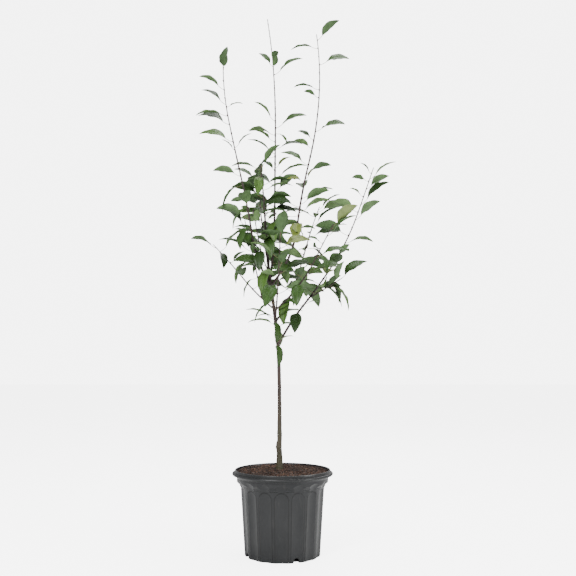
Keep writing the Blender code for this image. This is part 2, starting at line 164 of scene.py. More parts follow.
world = bpy.data.worlds.new("studio")
world.use_nodes = True
tree = world.node_tree
backdrop = tree.nodes["Background"]
backdrop.inputs["Color"].default_value = (1, 1, 1, 1)
seen = node(tree, "ShaderNodeLightPath").outputs["Is Camera Ray"]
glow = spread(tree, seen, (0, 1), (STUDIO_GLOW, BACKDROP_GLOW))
tree.links.new(glow, backdrop.inputs["Strength"])
bpy.context.scene.world = world

for name, place, power, size in LIGHTS:
    bpy.ops.object.light_add(type="AREA", location=place)
    light = bpy.context.object
    light.name = name
    light.data.energy = power
    light.data.size = size
    towards = LIGHTS_AIM - Vector(place)
    light.rotation_euler = towards.to_track_quat("-Z", "Y").to_euler()

# Pot: one thin injection-moulded shell of black polyethylene, with a rolled bead round the rim, a
# stepped band below it, sixteen shallow arched flutes and four drain holes at the foot.
LIP_RADIUS = 0.138
BEAD_RADIUS = 0.146
BEAD_THICKNESS = 0.0084
BEAD_DROP = 0.0115
BAND_RADIUS = 0.1325
NECK_RADIUS = 0.1241
SHOULDER_HEIGHT = 0.194
SHOULDER_RADIUS = 0.1212
BASE_RADIUS = 0.1088
# How far below the top of the lip the band under the bead starts, ends and meets the neck
BAND_DROPS = (0.020, 0.034, 0.041)
INNER_DROP = 0.014
NECK_RISE = 0.003
POT_WALL = 0.0062
RIM_WALL = 0.0035
POT_FLOOR = 0.005
POT_SIDES = 256
BEAD_TURNS = range(75, -90, -15)
# How the mould eases each corner: the offsets of its points, outwards and upwards
LIP_INSIDE_EASE = ((0, -0.001), (0.0003, -0.0003), (0.001, 0))
LIP_OUTSIDE_EASE = ((-0.001, 0), (-0.0003, -0.0003), (0, -0.001))
BEAD_TOP_EASE = ((0, 0.0012), (0.0008, 0.0002))
BEAD_FOOT_EASE = ((0.0010, 0), (-0.0030, -0.0010))
BAND_TOP_EASE = ((0.0004, -0.0004), (0, -0.0012))
BAND_FOOT_EASE = ((0, 0.0012), (-0.0005, 0.0002))
NECK_TOP_EASE = ((0.0008, 0.0006), (0, -0.0008))
NECK_FOOT_EASE = ((0, 0), (-0.0004, -0.0012))
SHOULDER_EASE = ((0.0003, 0), (0, -0.001))
POT_FOOT_EASE = ((0.0002, 0.0012), (-0.0008, 0))
FLUTES = 16
FLUTE_TURN = radians(-91)
FLUTE_DEPTH = 0.0030
FLUTE_HALF_WIDTH = 0.0195
FLUTE_TOP = 0.1915
CAPSULE_TURNS = range(80, -1, -4)
CAPSULE_SIDES = 128
DRAIN_HOLES = 4
DRAIN_FLUTE = 1
DRAIN_WIDTH = 0.017
DRAIN_HEIGHT = 0.013
DRAIN_REACH = 4 * POT_WALL
DRAIN_DEEPER = 3
DRAIN_SIDES = 32
POT_SMOOTH = radians(24)
PLASTIC_BLACKS = ((0.012, 0.013, 0.014), (0.020, 0.021, 0.022))
PLASTIC_ROUGHNESS = (0.30, 0.42)
DUST = (0.07, 0.065, 0.06, 1)
MOST_DUST = (0.25, 0.25, 0.25)
# The colour of the painted shade in the flute creases, the width of that line, and how far it darkens them
CREASE_SHADE = (0.002, 0.002, 0.002, 1)
CREASE_WIDTH = 0.0016
CREASE_SHADE_SHARE = 0.85

pot_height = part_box("pot")[1][2]
band_top, band_bottom, neck_top = [pot_height - drop for drop in BAND_DROPS]
inner_lip = LIP_RADIUS - RIM_WALL
bead = BEAD_THICKNESS / 2
bead_height = pot_height - BEAD_DROP


def wall_radius(height):
    """The plain outer radius of the tapered body at a height."""
    return BASE_RADIUS + (SHOULDER_RADIUS - BASE_RADIUS) * height / SHOULDER_HEIGHT


def eased(radius, height, offsets):
    """A corner of the profile as the points that ease it."""
    return [(radius + out, height + up) for out, up in offsets]


def object_of(name, points, faces):
    """A new object at the origin from its points and faces."""
    mesh = bpy.data.meshes.new(name)
    mesh.from_pydata([tuple(point) for point in points], [], faces)
    made = bpy.data.objects.new(name, mesh)
    bpy.context.scene.collection.objects.link(made)
    return made


def only(thing):
    """Makes this object the one that operators act on."""
    bpy.ops.object.select_all(action="DESELECT")
    thing.select_set(True)
    bpy.context.view_layer.objects.active = thing


def apply_all(thing):
    only(thing)
    for modifier in list(thing.modifiers):
        bpy.ops.object.modifier_apply(modifier=modifier.name)


def turned(name, profile, sides):
    """A profile of (radius, height) turned about Z. It runs down the outer side, top to bottom."""
    mesh = bpy.data.meshes.new(name)
    points = [(radius, 0, height) for radius, height in profile]
    mesh.from_pydata(points, [(i, i + 1) for i in range(len(points) - 1)], [])
    made = bpy.data.objects.new(name, mesh)
    bpy.context.scene.collection.objects.link(made)
    screw = made.modifiers.new("turn", "SCREW")
    screw.steps = sides
    screw.render_steps = sides
    screw.use_merge_vertices = True
    screw.merge_threshold = 0.0001
    apply_all(made)
    return made


profile = [
    (0, POT_FLOOR),
    (wall_radius(POT_FLOOR) - POT_WALL, POT_FLOOR),
    (SHOULDER_RADIUS - POT_WALL, SHOULDER_HEIGHT),
    (BAND_RADIUS - RIM_WALL, band_top),
    (inner_lip, pot_height - INNER_DROP),
    *eased(inner_lip, pot_height, LIP_INSIDE_EASE),
    *eased(LIP_RADIUS, pot_height, LIP_OUTSIDE_EASE),
    *eased(LIP_RADIUS, bead_height + bead, BEAD_TOP_EASE),
]
for turn in BEAD_TURNS:
    across = BEAD_RADIUS - bead + bead * cos(radians(turn))
    profile.append((across, bead_height + bead * sin(radians(turn))))
profile += [
    *eased(LIP_RADIUS, bead_height - bead, BEAD_FOOT_EASE),
    *eased(BAND_RADIUS, band_top, BAND_TOP_EASE),
    *eased(BAND_RADIUS, band_bottom, BAND_FOOT_EASE),
    *eased(NECK_RADIUS, neck_top, NECK_TOP_EASE),
    *eased(NECK_RADIUS, SHOULDER_HEIGHT + NECK_RISE, NECK_FOOT_EASE),
    *eased(SHOULDER_RADIUS, SHOULDER_HEIGHT, SHOULDER_EASE),
    *eased(BASE_RADIUS, 0, POT_FOOT_EASE),
    (0, 0),
]
pot = turned("nursery_pot", profile, POT_SIDES)

# Each flute is cut by a long domed capsule that lies along the sloping wall, so it ends in an arch.
slope = atan2(SHOULDER_RADIUS - BASE_RADIUS, SHOULDER_HEIGHT)
capsule_radius = (FLUTE_HALF_WIDTH**2 + FLUTE_DEPTH**2) / (2 * FLUTE_DEPTH)
flute_top = FLUTE_TOP - FLUTE_HALF_WIDTH
away = wall_radius(flute_top) - FLUTE_DEPTH + capsule_radius
capsule = [(0, capsule_radius)]
for turn in CAPSULE_TURNS:
    capsule.append((cos(radians(turn)) * capsule_radius, sin(radians(turn)) * capsule_radius))
capsule += [(capsule_radius, -pot_height), (0, -pot_height)]
pot_cutters = bpy.data.collections.new("pot cutters")
for flute in range(FLUTES):
    turn = FLUTE_TURN + tau * flute / FLUTES
    cutter = turned(f"flute cutter {flute}", capsule, CAPSULE_SIDES)
    place = Matrix.Translation((away * cos(turn), away * sin(turn), flute_top))
    cutter.data.transform(place @ Matrix.Rotation(turn, 4, "Z") @ Matrix.Rotation(slope, 4, "Y"))
    pot_cutters.objects.link(cutter)

# A drain hole's cutter is a cylinder across the wall, its lower half drawn down past the underside.
for hole in range(DRAIN_HOLES):
    turn = FLUTE_TURN + tau * (DRAIN_FLUTE + hole * FLUTES / DRAIN_HOLES) / FLUTES
    across = BASE_RADIUS - POT_WALL / 2
    bpy.ops.object.select_all(action="DESELECT")
    bpy.ops.mesh.primitive_cylinder_add(vertices=DRAIN_SIDES, radius=DRAIN_WIDTH / 2, depth=DRAIN_REACH)
    cutter = bpy.context.object
    cutter.name = f"drain cutter {hole}"
    cutter.data.transform(Matrix.Rotation(pi / 2, 4, "Y"))
    for vert in cutter.data.vertices:
        if vert.co.z < 0:
            vert.co.z *= DRAIN_DEEPER
    place = Matrix.Translation((across * cos(turn), across * sin(turn), DRAIN_HEIGHT - DRAIN_WIDTH / 2))
    cutter.data.transform(place @ Matrix.Rotation(turn, 4, "Z"))
    pot_cutters.objects.link(cutter)
cut = pot.modifiers.new("flutes and drain holes", "BOOLEAN")
cut.operation = "DIFFERENCE"
cut.operand_type = "COLLECTION"
cut.collection = pot_cutters
cut.solver = "MANIFOLD"
apply_all(pot)
for cutter in list(pot_cutters.objects):
    bpy.data.objects.remove(cutter)
bpy.data.collections.remove(pot_cutters)
only(pot)
bpy.ops.object.shade_smooth_by_angle(angle=POT_SMOOTH)


def mixed(tree, share, first, second, blend="MIX"):
    """The first colour mixed towards the second by a share. Each is a colour or a socket."""
    inputs = {"Factor": share, "A": first, "B": second}
    return node(tree, "ShaderNodeMix", inputs, data_type="RGBA", blend_type=blend).outputs["Result"]


def bumped(tree, height, strength, distance, under=None):
    """The normal of a surface raised by a height, over another bump's normal if one is given."""
    inputs = {"Height": height, "Strength": strength, "Distance": distance}
    if under:
        inputs["Normal"] = under
    return node(tree, "ShaderNodeBump", inputs).outputs["Normal"]


plastic, tree, shader = new_material("moulded black plastic", 0.4)
cloud = cloudy(tree, 14.0, 6.0)
black = ramp(tree, cloud, [(0.3, PLASTIC_BLACKS[0]), (0.7, PLASTIC_BLACKS[1])])
streaks = cloudy(tree, 90.0, 5.0, (1, 1, 0.25))
dusty = mixed(tree, ramp(tree, streaks, [(0.60, (0, 0, 0)), (0.78, MOST_DUST)]), black, DUST)
# Painted shade darkens the crease round each flute, and the same line dents the bump: the distance from
# its arched outline gives the line.
place = node(tree, "ShaderNodeSeparateXYZ", {"Vector": object_point(tree)}).outputs
round_pot = maths(tree, "SUBTRACT", maths(tree, "ARCTAN2", place["Y"], place["X"]), FLUTE_TURN)
off_middle = maths(tree, "PINGPONG", round_pot, pi / FLUTES)
sideways = maths(tree, "MULTIPLY", off_middle, wall_radius(flute_top))
above = maths(tree, "MAXIMUM", maths(tree, "SUBTRACT", place["Z"], flute_top), 0.0)
offset = node(tree, "ShaderNodeCombineXYZ", {"X": sideways, "Y": above}).outputs["Vector"]
reach = node(tree, "ShaderNodeVectorMath", {0: offset}, operation="LENGTH").outputs["Value"]
off_edge = maths(tree, "ABSOLUTE", maths(tree, "SUBTRACT", reach, FLUTE_HALF_WIDTH))
crease_and_shade = spread(tree, off_edge, (0.0, CREASE_WIDTH), (CREASE_SHADE_SHARE, 0.0))
tree.links.new(mixed(tree, crease_and_shade, dusty, CREASE_SHADE), shader.inputs["Base Color"])
shader.inputs["Specular IOR Level"].default_value = 0.35
tree.links.new(spread(tree, cloud, (0, 1), PLASTIC_ROUGHNESS), shader.inputs["Roughness"])
pebbled = bumped(tree, cloudy(tree, 1600.0, 2.0), 0.12, 0.0003)
tree.links.new(bumped(tree, crease_and_shade, 0.8, -0.0012, pebbled), shader.inputs["Normal"])
pot.data.materials.clear()
pot.data.materials.append(plastic)
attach(pot, "root")
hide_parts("pot")

# Compost: coarse moist bark, heaped to about the rim. A lumpy bed lies in the top of the pot and
# loose shreds and granules of bark lie over it, darker in patches where they are wetter.
SOIL_EDGE_HEIGHT = 0.2345
SOIL_TOP_HEIGHT = 0.2405
SOIL_GAP = 0.0006
SOIL_SAG_POWER = 2.2
# Each size of lump: its count to the metre, its height, and the layer of noise that it is read from
SOIL_LUMPS = ((60, 0.0022, 0), (160, 0.0014, 5))
LEVEL_MIDDLE = 6
BED_RINGS = 40
BED_SIDES = 96
SKIRT_DROPS = (0.006, 0.016)
SKIRT_INSET = 0.008
SHREDS = 2600
SHRED_CORNERS = 6
SHRED_LENGTHS = (0.003, 0.011)
SHRED_SIZES = (0.5, 1)
SHRED_WIDTHS = (0.3, 0.75)
SHRED_DEPTHS = (0.15, 0.45)
SHRED_TILT = 0.4
SHRED_LIFT = (0.1, 0.5)
SHRED_RAGGED = (0.7, 1.0)
SHRED_EDGE_GAP = 0.006
SHRED_TRUNK_GAP = 0.013
TRUNK_FOOT = Vector((-0.009, 0, SOIL_TOP_HEIGHT + 0.0003))
BARK_BROWNS = [
    (0.0, (0.012, 0.008, 0.006)),
    (0.45, (0.040, 0.021, 0.014)),
    (0.8, (0.085, 0.040, 0.026)),
    (1.0, (0.17, 0.095, 0.060)),
]
WET_SHADE = (0.45, 0.42, 0.40)

soil_edge = inner_lip - SOIL_GAP


def soil_height(x, y):
    """The bed's height, lumpy away from the trunk."""
    share = min(1, sqrt(x * x + y * y) / soil_edge)
    sag = (SOIL_TOP_HEIGHT - SOIL_EDGE_HEIGHT) * share**SOIL_SAG_POWER
    lumps = sum(noise.noise(Vector((x, y, layer)) * count) * height for count, height, layer in SOIL_LUMPS)
    return SOIL_TOP_HEIGHT - sag + lumps * min(1, LEVEL_MIDDLE * share)


# The bed is turned flat at height 0 with a skirt below, and then its top is raised to its lumps.
profile = [(soil_edge * ring / BED_RINGS, 0.0) for ring in range(BED_RINGS + 1)]
profile += [(soil_edge, -SKIRT_DROPS[0]), (soil_edge - SKIRT_INSET, -SKIRT_DROPS[1]), (0, -SKIRT_DROPS[1])]
soil = turned("compost_bed", profile, BED_SIDES)
for vert in soil.data.vertices:
    if vert.co.z > -SKIRT_DROPS[0] / 2:
        vert.co.z = soil_height(vert.co.x, vert.co.y)
    else:
        vert.co.z += SOIL_EDGE_HEIGHT
form = bmesh.new()
form.from_mesh(soil.data)
bmesh.ops.recalc_face_normals(form, faces=form.faces)
form.to_mesh(soil.data)
form.free()
soil.data.shade_smooth()

rng = random.Random(7)
points = []
faces = []
for shred in range(SHREDS):
    turn = rng.uniform(0, tau)
    away = sqrt(rng.random()) * (soil_edge - SHRED_EDGE_GAP)
    x, y = away * cos(turn), away * sin(turn)
    if (Vector((x, y, 0)) - Vector((TRUNK_FOOT.x, 0, 0))).length < SHRED_TRUNK_GAP:
        continue
    length = rng.uniform(*SHRED_LENGTHS) * rng.uniform(*SHRED_SIZES)
    width = length * rng.uniform(*SHRED_WIDTHS)
    depth = length * rng.uniform(*SHRED_DEPTHS)
    spin = Matrix.Rotation(rng.uniform(0, tau), 3, "Z")
    spin = spin @ Matrix.Rotation(rng.gauss(0, SHRED_TILT), 3, "X")
    spin = spin @ Matrix.Rotation(rng.gauss(0, SHRED_TILT), 3, "Y")
    centre = Vector((x, y, soil_height(x, y) + depth * rng.uniform(*SHRED_LIFT)))
    first = len(points)
    for corner in range(SHRED_CORNERS):
        at = tau * corner / SHRED_CORNERS
        reach = rng.uniform(*SHRED_RAGGED) / 2
        for side in (-0.5, 0.5):
            local = Vector((cos(at) * length * reach, sin(at) * width * reach, side * depth))
            points.append(centre + spin @ local)
    faces.append([first + 2 * corner for corner in reversed(range(SHRED_CORNERS))])
    faces.append([first + 2 * corner + 1 for corner in range(SHRED_CORNERS)])
    for corner in range(SHRED_CORNERS):
        after = (corner + 1) % SHRED_CORNERS
        low, high = first + 2 * corner, first + 2 * corner + 1
        faces.append([low, first + 2 * after, first + 2 * after + 1, high])
shreds = object_of("compost_shreds", points, faces)

compost, tree, shader = new_material("bark compost", 0.9)
cells = node(tree, "ShaderNodeTexVoronoi", {"Vector": object_point(tree), "Scale": 260.0}).outputs["Color"]
picked = node(tree, "ShaderNodeSeparateColor", {"Color": cells}).outputs["Red"]
wet = ramp(tree, cloudy(tree, 18.0, 4.0), [(0.35, WET_SHADE), (0.65, (1, 1, 1))])
damp = mixed(tree, 1.0, ramp(tree, picked, BARK_BROWNS), wet, "MULTIPLY")
tree.links.new(damp, shader.inputs["Base Color"])
tree.links.new(bumped(tree, cloudy(tree, 700.0, 4.0), 0.6, 0.0006), shader.inputs["Normal"])
for piece in (soil, shreds):
    piece.data.materials.clear()
    piece.data.materials.append(compost)
    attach(piece, "root")
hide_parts("soil")

# Trunk: one nearly straight stem of dark bark, flared at the root and swollen at the graft a hand's
# width above the compost, flecked with paler breathing pores and filmed with green low down.
TRUNK_LENGTH = 0.541
TRUNK_LEANS = (0, 0, 1, 6, 9)
TRUNK_AZIMUTH = 180
TRUNK_RADII = (0.0105, 0.0076, 0.0072, 0.0060, 0.0057, 0.0056, 0.0055, 0.0054, 0.0052, 0.0049, 0.0046)
TRUNK_RINGS = 26
TRUNK_STEPS = 420
TRUNK_SIDES = 40
TRUNK_RELIEF = 0.10
GRAFT_HEIGHT = 0.305
GRAFT_REACH = 0.02
GRAFT_SWELL = 0.16
GRAFT_SHIFT = Vector((-0.0022, -0.0006, 0))
BARK_GRAIN = 260
BARK_RIBS = 60
RIB_LAYER = 3
BARK_ROUGHNESS = 0.62
TRUNK_BROWNS = ((0.012, 0.007, 0.004), (0.040, 0.022, 0.014))
PORE_BROWN = (0.10, 0.065, 0.045, 1)
FILM_GREEN = (0.075, 0.085, 0.030, 1)
FILM_HEIGHTS = (0.26, 0.48)
TRUNK_FILM = 0.7


def heading(lean, azimuth):
    """The unit vector that leans off the vertical by this many degrees, towards the azimuth."""
    lean = radians(lean)
    azimuth = radians(azimuth)
    return Vector((sin(lean) * cos(azimuth), sin(lean) * sin(azimuth), cos(lean)))


def between(values, share):
    """The value at a share of the way along values that stand at even steps."""
    place = share * (len(values) - 1)
    before = min(int(place), len(values) - 2)
    return values[before] + (values[before + 1] - values[before]) * (place - before)


def stretch(values, start, end, steps):
    """The values at even steps between two shares of their line."""
    return [between(values, start + (end - start) * step / steps) for step in range(steps + 1)]


def limb_line(foot, azimuth, turn, leans, length, rings):
    """A limb's points from its foot up, on a heading that changes evenly."""
    points = [foot]
    for ring in range(rings):
        share = (ring + 0.5) / rings
        step = heading(between(leans, share), azimuth + turn * share)
        points.append(points[-1] + step * (length / rings))
    return points


def add_tube(points, faces, line, radii, sides, relief=0.0):
    """Adds a closed round limb, its skin roughened by the relief, a share of its radius."""
    first = len(points)
    side = Vector((1, 0, 0))
    for ring, (place, radius) in enumerate(zip(line, radii)):
        along = (line[min(ring + 1, len(line) - 1)] - line[max(ring - 1, 0)]).normalized()
        side = (side - along * side.dot(along)).normalized()
        across = along.cross(side)
        for corner in range(sides):
            turn = tau * corner / sides
            out = side * cos(turn) + across * sin(turn)
            grown = radius
            if relief:
                grown *= 1 + relief * noise.noise((place + out * radius) * BARK_GRAIN)
                grown *= 1 + relief * noise.noise(Vector((turn, place.z * BARK_RIBS, RIB_LAYER)))
            points.append(place + out * grown)
    for ring in range(len(line) - 1):
        low = first + ring * sides
        for corner in range(sides):
            after = (corner + 1) % sides
            faces.append([low + corner, low + after, low + sides + after, low + sides + corner])
    faces.append([first + corner for corner in range(sides - 1, -1, -1)])
    last = first + (len(line) - 1) * sides
    faces.append([last + corner for corner in range(sides)])


trunk_line = limb_line(TRUNK_FOOT, TRUNK_AZIMUTH, 0, TRUNK_LEANS, TRUNK_LENGTH, TRUNK_RINGS)
fine_line = stretch(trunk_line, 0, 1, TRUNK_STEPS)
fine_radii = stretch(TRUNK_RADII, 0, 1, TRUNK_STEPS)
for step, place in enumerate(fine_line):
    swell = max(0, 1 - abs(place.z - GRAFT_HEIGHT) / GRAFT_REACH)
    fine_line[step] = place + GRAFT_SHIFT * swell
    fine_radii[step] *= 1 + GRAFT_SWELL * swell
points = []
faces = []
add_tube(points, faces, fine_line, fine_radii, TRUNK_SIDES, TRUNK_RELIEF)
trunk = object_of("cherry_trunk", points, faces)
trunk.data.shade_smooth()


def new_group(name, inputs, outputs):
    """A node group with inputs of named kinds and number outputs, and the nodes at its two ends."""
    group = bpy.data.node_groups.new(name, "ShaderNodeTree")
    for title, kind in inputs:
        group.interface.new_socket(title, in_out="INPUT", socket_type=kind)
    for title in outputs:
        group.interface.new_socket(title, in_out="OUTPUT", socket_type="NodeSocketFloat")
    return group, node(group, "NodeGroupInput"), node(group, "NodeGroupOutput")


def bark_group():
    """Masks over young bark: bands along the limb, raised pores, and a green film low down."""
    outputs = ("Bands", "Pores", "Film")
    group, inside, outside = new_group("bark marks", [("Most Film", "NodeSocketFloat")], outputs)
    bands = cloudy(group, 120.0, 8.0, (1, 1, 0.25))
    flat_point = object_point(group, (0.55, 0.55, 1.6))
    cells = node(group, "ShaderNodeTexVoronoi", {"Vector": flat_point, "Scale": 190.0, "Randomness": 0.9})
    pores = ramp(group, cells.outputs["Distance"], [(0.10, (1, 1, 1)), (0.20, (0, 0, 0))])
    height = node(group, "ShaderNodeSeparateXYZ", {"Vector": object_point(group)}).outputs["Z"]
    low_down = spread(group, height, FILM_HEIGHTS, (inside.outputs["Most Film"], 0.0))
    film = maths(group, "MULTIPLY", low_down, cloudy(group, 45.0, 5.0))
    for title, mask in zip(outputs, (bands, pores, film)):
        group.links.new(mask, outside.inputs[title])
    return group


bark_marks = bark_group()


def bark_material(name, browns, film):
    """Smooth young bark: stretched bands of two browns, paler raised pores, and a film of green."""
    made, tree, shader = new_material(name, BARK_ROUGHNESS)
    marks = node(tree, "ShaderNodeGroup", {"Most Film": film}, node_tree=bark_marks).outputs
    bark = ramp(tree, marks["Bands"], [(0.3, browns[0]), (0.7, browns[1])])
    pored = mixed(tree, marks["Pores"], bark, PORE_BROWN)
    tree.links.new(mixed(tree, marks["Film"], pored, FILM_GREEN), shader.inputs["Base Color"])
    relief = maths(tree, "ADD", marks["Bands"], marks["Pores"])
    tree.links.new(bumped(tree, relief, 0.5, 0.0006), shader.inputs["Normal"])
    return made


trunk.data.materials.append(bark_material("trunk bark", TRUNK_BROWNS, TRUNK_FILM))
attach(trunk, "root")
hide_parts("trunk")

# Shoots: last summer's long whips of smooth red-brown wood, each one tapering from where it leaves
# the trunk or an older shoot, and a little swollen at every bud.
TIP_RADIUS = 0.0010
LIMB_TAPER = 0.8
LIMB_RINGS = 24
SHOOT_SWELL = 1.3  # how much wider a shoot is drawn than its solid
SHOOT_STEP = 0.0035
FEWEST_STEPS = 16
SHOOT_SIDES = 12
SHOOT_RELIEF = 0.05
NODE_START = 0.35  # where a node's first leaf stands, as a share of the way to the next node
NODE_STEP = 0.3  # from one leaf of a node to the next
NODE_SWELL = 0.28
NODE_REACH = 0.004
BUD_LENGTH = 0.0055
BUD_RADIUS = 0.0015
BUD_LEAN = 38
BUD_JITTER = 20
BUD_SIZES = (0.8, 1.2)
BUD_SIDES = 6
# A bud's outline: shares of its length, from inside the bark, and of its radius there
BUD_OUTLINE = ((-0.1, 0.7), (0.25, 1.0), (0.6, 0.75), (0.9, 0.25), (1.0, 0.05))
HEADING_SHARE = 0.02
SIDES = {"r": 0, "b": 90, "l": 180, "f": 270}
BUD_AZIMUTHS = {**SIDES, ".": 137, "": 0}
SHOOT_BROWNS = ((0.016, 0.009, 0.008), (0.045, 0.026, 0.022))
Shoot = namedtuple("Shoot", "name parent at azimuth turn leans length radius leafy nodes seed")
# A shoot leaves its parent limb at a share of its length, on an azimuth that turns as it rises. Its
# leans are degrees off the vertical, foot to tip. From the share leafy on it bears leaves at even
# nodes, from the foot up. A node lists its leaves: the side, l, r, f or b for left, right, front or
# back, in capitals for a large leaf, and ^, - or v for one that is raised, level or hanging. A dot
# is a bare bud.
SHOOTS = (
    Shoot("leader", "trunk", 1.0, 205, 0, (8, 3, 8), 0.355, 0.0042, 0.10,
          "FvL- Rv L-b- RvF- FvR- B- l- b-R- L- R-L- L-R- R- FvLv L-R^", 7),
    Shoot("low_left", "trunk", 0.86, 168, 0, (51, 40, 44), 0.270, 0.0022, 0.30,
          "R^ . F- . . r^ . FvR^ L-", 6),
    Shoot("left_tall", "trunk", 0.985, 218, 0, (39, 11, 16, 15, 1), 0.655, 0.0028, 0.27,
          "Fv L- LvF- l- . Lv L- . . l^r^ L- . L- L- r-L^ . L^ . F^", 16),
    Shoot("left_mid", "low_left", 0.18, 165, 0, (12, 13, 14), 0.240, 0.0018, 0.12,
          "R^ Lv b- LvF- L- R- l-Fv L^", 18),
    Shoot("left_inner", "leader", 0.08, 230, 0, (36, 18, 14), 0.195, 0.0016, 0.22,
          "b- Fv R- L- f^ R-l^", 9),
    Shoot("centre_tall", "leader", 0.02, 35, 100, (8, 0, 9, 12), 0.835, 0.0030, 0.13,
          "Bv Fv b- FvL- r^ L- b- R^ L- R- l^r^ . LvL^ R- L- L-rv R- L^ "
          ". . . . . . R^ f^l^ f- . . . . . .", 18),
    Shoot("right_tall", "trunk", 0.99, 340, 0, (45, 7, 15, 4, -8), 0.770, 0.0030, 0.12,
          "Bv L^l- F- b-r- Fv LvR- L-R^ R- B- l-r^ R- L^ . l- l^ R- . . . l^ L- . . R- . L- R^", 10),
    Shoot("low_right", "trunk", 0.66, 8, 0, (27, 39, 32, 20, 19), 0.615, 0.0030, 0.17,
          "Fv l-r- f- R- Rvl- RvF- L-F- b- r^f- . R- L- . R^ L- R^ l^ R^ l-R^ l^", 22),
    Shoot("low_right_side", "low_right", 0.28, 335, 0, (66, 62, 60), 0.115, 0.0016, 0.16,
          "L- F- r^ Rv F^ R^", 1),
    Shoot("right_upper", "trunk", 0.79, 42, 0, (44, 24, 20, 27), 0.405, 0.0026, 0.20,
          "FvR- L-f- RvF- R- L-Bv R- L-B- Rv L^R- b- R^ f-L- R-R^", 7),
    Shoot("right_inner", "trunk", 0.85, 318, 0, (60, 49, 34, 37), 0.325, 0.0022, 0.22,
          "fv b- Fv L-R- R- L- R-Fv b- l- R^ r-R^", 21),
    Shoot("front_low", "trunk", 0.80, 275, 0, (52, 38, 24), 0.300, 0.0022, 0.22,
          "Lv R- Fv l-R- F- L^b- R- F^", 22),
    Shoot("back_low", "trunk", 0.90, 98, 0, (52, 34, 20), 0.420, 0.0026, 0.18,
          "R- Bv L- B-r- Lv B- R-l^ B- L-r^ B^ f^", 4),
    Shoot("back_left", "leader", 0.16, 108, 0, (34, 20, 8), 0.310, 0.0022, 0.20,
          "B- L- r- BvL- R- B-l- F- L^B^", 9),
    Shoot("spur_low", "trunk", 0.665, 250, 0, (70, 50), 0.022, 0.0016, 0.0,
          "Fv r-", 3),
    Shoot("spur_mid", "trunk", 0.79, 265, 0, (70, 45), 0.028, 0.0016, 0.0,
          "Fv L- R-l-", 3),
    Shoot("spur_back", "trunk", 0.75, 80, 0, (70, 45), 0.030, 0.0016, 0.0,
          "Bv r- L-", 13),
)


def node_share(shoot, number):
    """The share of the whole shoot at which a node stands."""
    words = shoot.nodes.split()
    return shoot.leafy + (1 - shoot.leafy) * (number + NODE_START) / len(words)


lines = {"trunk": trunk_line}
points = []
faces = []
bud_points = []
bud_faces = []
for shoot in SHOOTS:
    foot = between(lines[shoot.parent], shoot.at)
    line = limb_line(foot, shoot.azimuth, shoot.turn, shoot.leans, shoot.length, LIMB_RINGS)
    lines[shoot.name] = line
    words = shoot.nodes.split()
    steps = max(FEWEST_STEPS, round(shoot.length / SHOOT_STEP))
    radii = []
    for step in range(steps + 1):
        share = step / steps
        radius = SHOOT_SWELL * (shoot.radius + (TIP_RADIUS - shoot.radius) * share**LIMB_TAPER)
        to_node = 1.0
        for number in range(len(words)):
            off_node = abs(share - node_share(shoot, number)) * shoot.length / NODE_REACH
            to_node = min(to_node, off_node)
        radii.append(radius * (1 + NODE_SWELL * max(0, 1 - to_node)))
    add_tube(points, faces, stretch(line, 0, 1, steps), radii, SHOOT_SIDES, SHOOT_RELIEF)
    # Each bud stands in a leaf's angle or alone at a bare node, and one ends the shoot.
    rng = random.Random(shoot.seed)
    bud_places = [(node_share(shoot, number), word[0]) for number, word in enumerate(words)]
    for share, side in bud_places + [(1.0, "")]:
        at = between(line, share)
        ahead = between(line, min(1, share + HEADING_SHARE))
        along = (ahead - between(line, max(0, share - HEADING_SHARE))).normalized()
        azimuth = BUD_AZIMUTHS[side.lower()] + rng.uniform(-BUD_JITTER, BUD_JITTER)
        lean = radians(BUD_LEAN if side else 0)
        towards = (along * cos(lean) + heading(90, azimuth) * sin(lean)).normalized()
        size = rng.uniform(*BUD_SIZES)
        bud_line = [at + towards * (BUD_LENGTH * size * up) for up, _ in BUD_OUTLINE]
        bud_radii = [BUD_RADIUS * size * wide for _, wide in BUD_OUTLINE]
        add_tube(bud_points, bud_faces, bud_line, bud_radii, BUD_SIDES)
shoots = object_of("cherry_shoots", points, faces)
buds = object_of("cherry_buds", bud_points, bud_faces)
shoot_bark = bark_material("shoot bark", SHOOT_BROWNS, 0.0)
for piece in (shoots, buds):
    piece.data.shade_smooth()
    piece.data.materials.append(shoot_bark)
    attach(piece, "root")
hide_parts(*[name for name in frame["nodes"] if name.startswith("bough_")])

# Leaves: pointed ovals with a toothed edge, folded a little along the midrib and arched down to the
# tip, each on its stalk. The upper side is deep green and the under side paler and greyer.
LEAF_LENGTH = 0.074
SMALL_LEAF = 0.6
LEAF_HALF_WIDTH = 0.245  # of its length, like the other sizes of the blade
LEAF_THICKNESS = 0.00035
PETIOLE_LENGTH = 0.30
PETIOLE_PITCH = 35
BLADE_ARCH = 50  # degrees that the blade turns down from base to tip
ARCH_LEVEL = 0.4  # the share of the blade at which it has its own pitch
BLADE_STEPS = 12
BLADE_STATIONS = 25
BLADE_COLUMNS = (-1, -0.5, 0, 0.5, 1)
